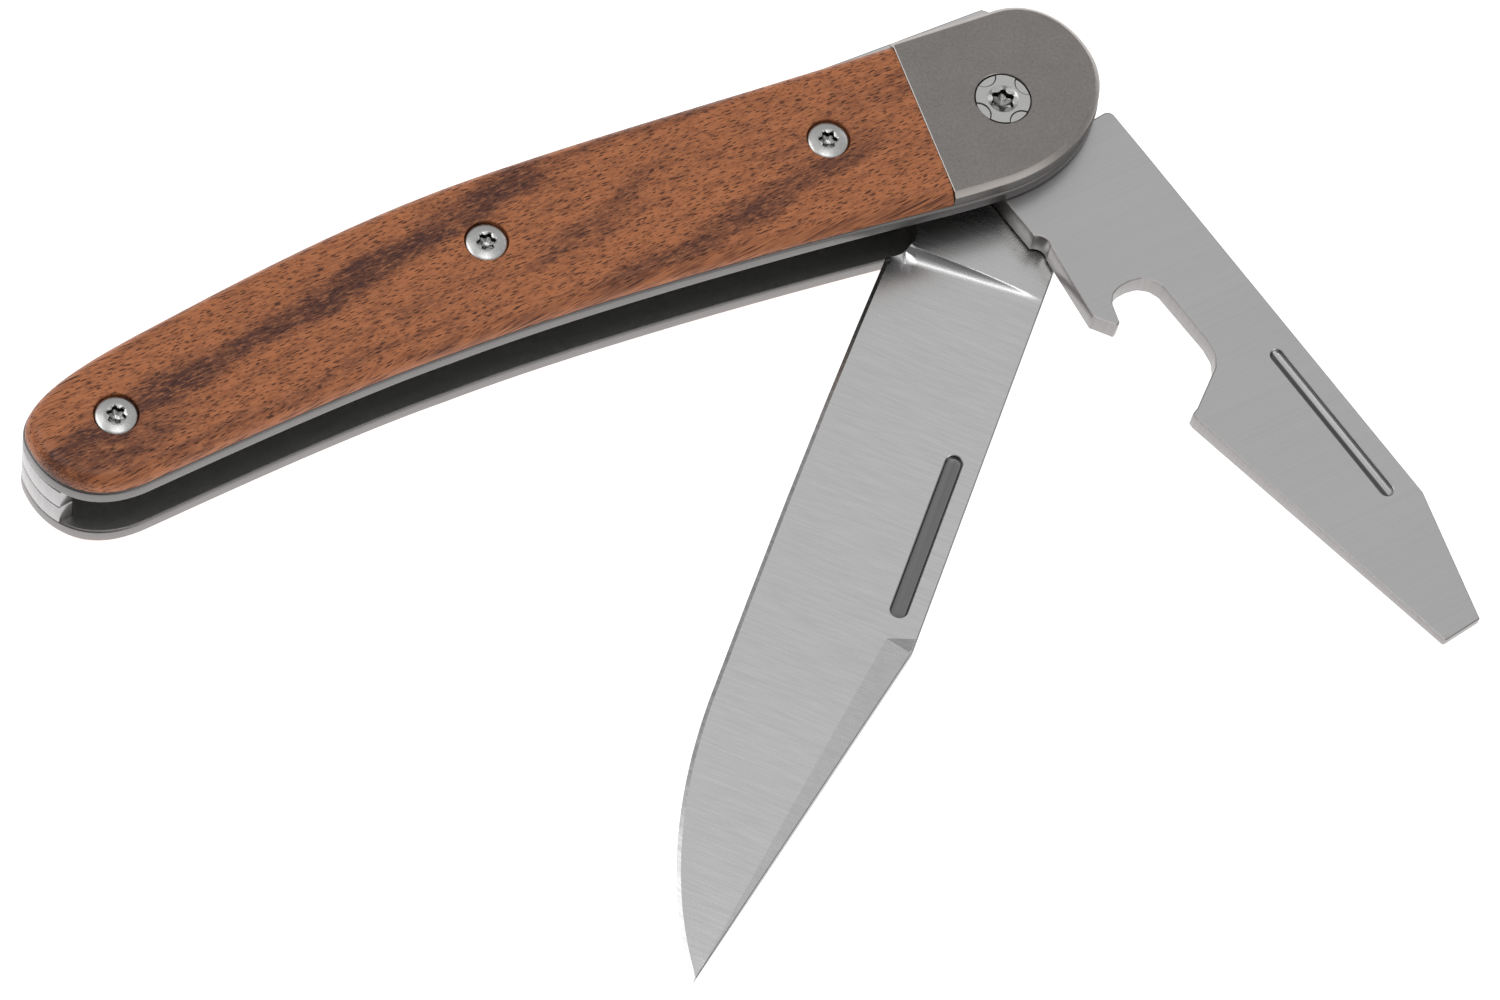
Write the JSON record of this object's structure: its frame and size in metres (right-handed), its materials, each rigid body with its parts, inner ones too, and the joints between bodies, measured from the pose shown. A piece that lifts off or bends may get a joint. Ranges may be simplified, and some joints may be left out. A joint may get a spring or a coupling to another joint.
{
  "type": "folding pocket knife",
  "caption": "Folding slipjoint pocket knife with a clip-point blade and a bottle opener with flat screwdriver tip, wood scales, metal bolsters, steel liners and back springs.",
  "frame": {"origin": "pivot axis at the resting plane: centre of the far bolster's outer flat, with the knife lying on its far side", "axes": "+X from the handle's tail towards the pivot end, +Y from the belly (where the tools fold in) towards the back springs, +Z through the thickness, away from the resting plane"},
  "size_m": [0.1076, 0.0718, 0.0117],
  "materials": {
    "walnut": "oiled walnut, satin",
    "bolster_titanium": "fine bead-blasted titanium, satin",
    "liner_steel": "satin stainless steel",
    "spring_steel": "polished spring steel",
    "blade_steel": "fine satin-ground stainless steel",
    "opener_steel": "satin stainless steel, tumbled",
    "fastener_steel": "turned stainless steel",
    "bronze": "phosphor bronze sheet"
  },
  "bodies": {
    "handle": {"near_liner": "liner_steel", "far_liner": "liner_steel", "near_wood_scale": "walnut", "far_wood_scale": "walnut", "near_bolster": "bolster_titanium", "far_bolster": "bolster_titanium", "near_bolster_dowels": "fastener_steel", "far_bolster_dowels": "fastener_steel", "spring_mid_pin": "fastener_steel", "spring_tail_pin": "fastener_steel", "near_washer": "bronze", "centre_washer": "bronze", "far_washer": "bronze", "pivot_barrel": "fastener_steel", "pivot_screw": "fastener_steel", "near_scale_screws": "fastener_steel", "far_scale_screws": "fastener_steel"},
    "main_blade": {"main_blade": "blade_steel"},
    "bottle_opener": {"bottle_opener": "opener_steel"},
    "near_spring": {"near_spring": "spring_steel"},
    "far_spring": {"far_spring": "spring_steel"}
  },
  "joints": [
    {"name": "main_blade_pivot", "type": "hinge", "parent": "handle", "child": "main_blade", "pos_m": [0, 0, 0.0045], "axis": [0, 0, 1], "range_deg": [-45.2, 134.8]},
    {"name": "bottle_opener_pivot", "type": "hinge", "parent": "handle", "child": "bottle_opener", "pos_m": [0, 0, 0.0072], "axis": [0, 0, 1], "range_deg": [-100.4, 79.6]},
    {"name": "near_spring_flex", "type": "hinge", "parent": "handle", "child": "near_spring", "pos_m": [-0.0473, 0.0082, 0.0072], "axis": [0, 0, 1], "range_deg": [-2, 0.3], "deforming": ["near_spring"]},
    {"name": "far_spring_flex", "type": "hinge", "parent": "handle", "child": "far_spring", "pos_m": [-0.0473, 0.0082, 0.0045], "axis": [0, 0, 1], "range_deg": [-2, 0.3], "deforming": ["far_spring"]}
  ]
}
